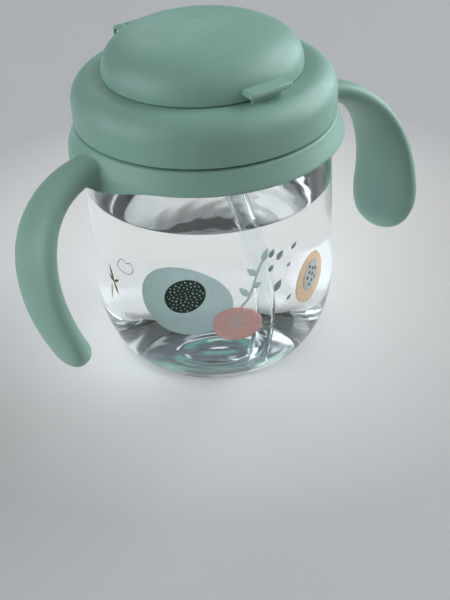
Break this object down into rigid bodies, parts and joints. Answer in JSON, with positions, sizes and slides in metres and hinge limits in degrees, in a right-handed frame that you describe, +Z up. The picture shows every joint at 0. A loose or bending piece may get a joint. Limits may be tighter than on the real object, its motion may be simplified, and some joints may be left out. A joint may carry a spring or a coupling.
{
  "type": "straw sippy cup",
  "caption": "Clear rounded toddler cup with a two-handled ring, quick-thread lid, hinged flip cover, folding silicone mouthpiece and a long soft straw.",
  "frame": {"origin": "on the table, under the middle of the standing cup", "axes": "+Z up along the cup's axis, -Y to the cup's front, where the cover's finger tab is, and X through the two handles"},
  "size_m": [0.1382, 0.0836, 0.1083],
  "materials": {
    "clear_body": "clear, polished copolyester plastic",
    "sage_ring": "fine satin",
    "sage_lid": "fine satin",
    "steel": "polished pin",
    "white_silicone": "soft matte",
    "retainer": "semi-gloss",
    "clear_silicone": "translucent, smooth"
  },
  "bodies": {
    "cup": {"cup_body": "clear_body"},
    "handles": {"handle_ring": "sage_ring"},
    "lid": {"lid_cap": "sage_lid", "lid_gasket": "white_silicone", "hinge_pin": "steel", "vent_valve": "white_silicone", "mouthpiece": "clear_silicone", "mouthpiece_retainer": "retainer", "straw_tube": "clear_silicone"},
    "cover": {"flip_cover": "sage_lid"},
    "straw_tip": {"mouthpiece_tip": "clear_silicone"}
  },
  "joints": [
    {"name": "ring_rise", "type": "slide", "parent": "cup", "child": "handles", "axis": [0, 0, 1], "range_m": [0, 0.00226]},
    {"name": "lid_turn", "type": "hinge", "parent": "handles", "child": "lid", "pos_m": [0, 0, 0.085], "axis": [0, 0, 1], "range_deg": [0, 90]},
    {"name": "cover_hinge", "type": "hinge", "parent": "lid", "child": "cover", "pos_m": [0, 0.0323, 0.0984], "axis": [-1, 0, 0], "range_deg": [0, 120]},
    {"name": "mouthpiece_fold", "type": "hinge", "parent": "lid", "child": "straw_tip", "pos_m": [0, 0.004, 0.0999], "axis": [-1, 0, 0], "range_deg": [0, 75.1]}
  ],
  "couplings": [
    {"joint": "ring_rise", "follows": "lid_turn", "m_per_rad": 0.0014324},
    {"joint": "mouthpiece_fold", "follows": "cover_hinge", "ratio": 0.625}
  ]
}
